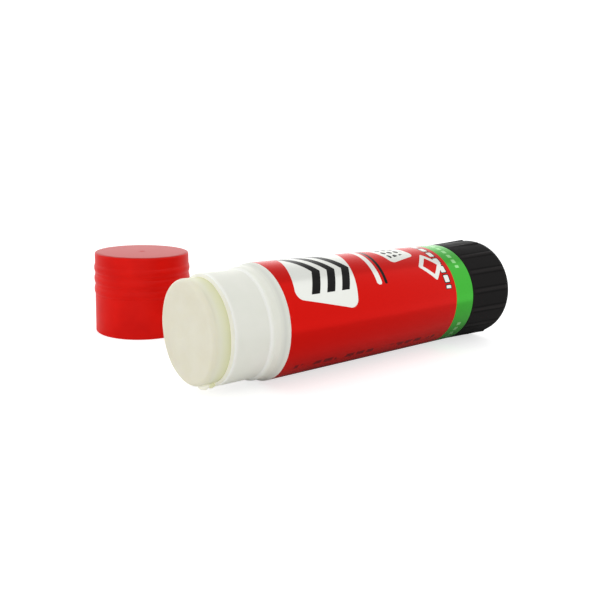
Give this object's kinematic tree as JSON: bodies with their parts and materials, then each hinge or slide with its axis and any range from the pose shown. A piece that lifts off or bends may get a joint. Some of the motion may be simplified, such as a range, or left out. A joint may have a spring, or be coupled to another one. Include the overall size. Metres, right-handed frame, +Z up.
{
  "type": "glue stick",
  "caption": "Twist-up glue stick lying on its side with its glue standing out of the neck, and its ring-gripped cap taken off and stood upright behind it.",
  "frame": {"origin": "on the table, under the middle of the box round the lying stick and the standing cap", "axes": "+X along the stick from its glue towards its knob, +Y from the stick towards the cap, +Z up"},
  "size_m": [0.1102, 0.0946, 0.032],
  "materials": {
    "white_polypropylene": "satin",
    "printed_film": "gloss",
    "black_plastic": "satin",
    "natural_plastic": "satin",
    "solid_glue": "waxy",
    "red_plastic": "gloss"
  },
  "bodies": {
    "barrel": {"tube": "white_polypropylene", "label_film": "printed_film"},
    "twist_knob": {"knob": "black_plastic", "spindle": "natural_plastic"},
    "glue_carrier": {"carrier": "natural_plastic", "glue": "solid_glue"},
    "loose_cap": {"cap": "red_plastic"}
  },
  "joints": [
    {"name": "knob_turn", "type": "hinge", "parent": "barrel", "child": "twist_knob", "pos_m": [0.0399, -0.03128, 0.01601], "axis": [-1, 0, 0], "range_deg": [-360, 3600]},
    {"name": "glue_feed", "type": "slide", "parent": "barrel", "child": "glue_carrier", "axis": [-1, 0, 0], "range_m": [-0.006, 0.06]},
    {"name": "cap_lift", "type": "slide", "parent": "barrel", "child": "loose_cap", "axis": [0, 0, 1], "range_m": [0, 0.06]}
  ],
  "couplings": [
    {"joint": "knob_turn", "follows": "glue_feed", "rad_per_m": 1047.2}
  ]
}
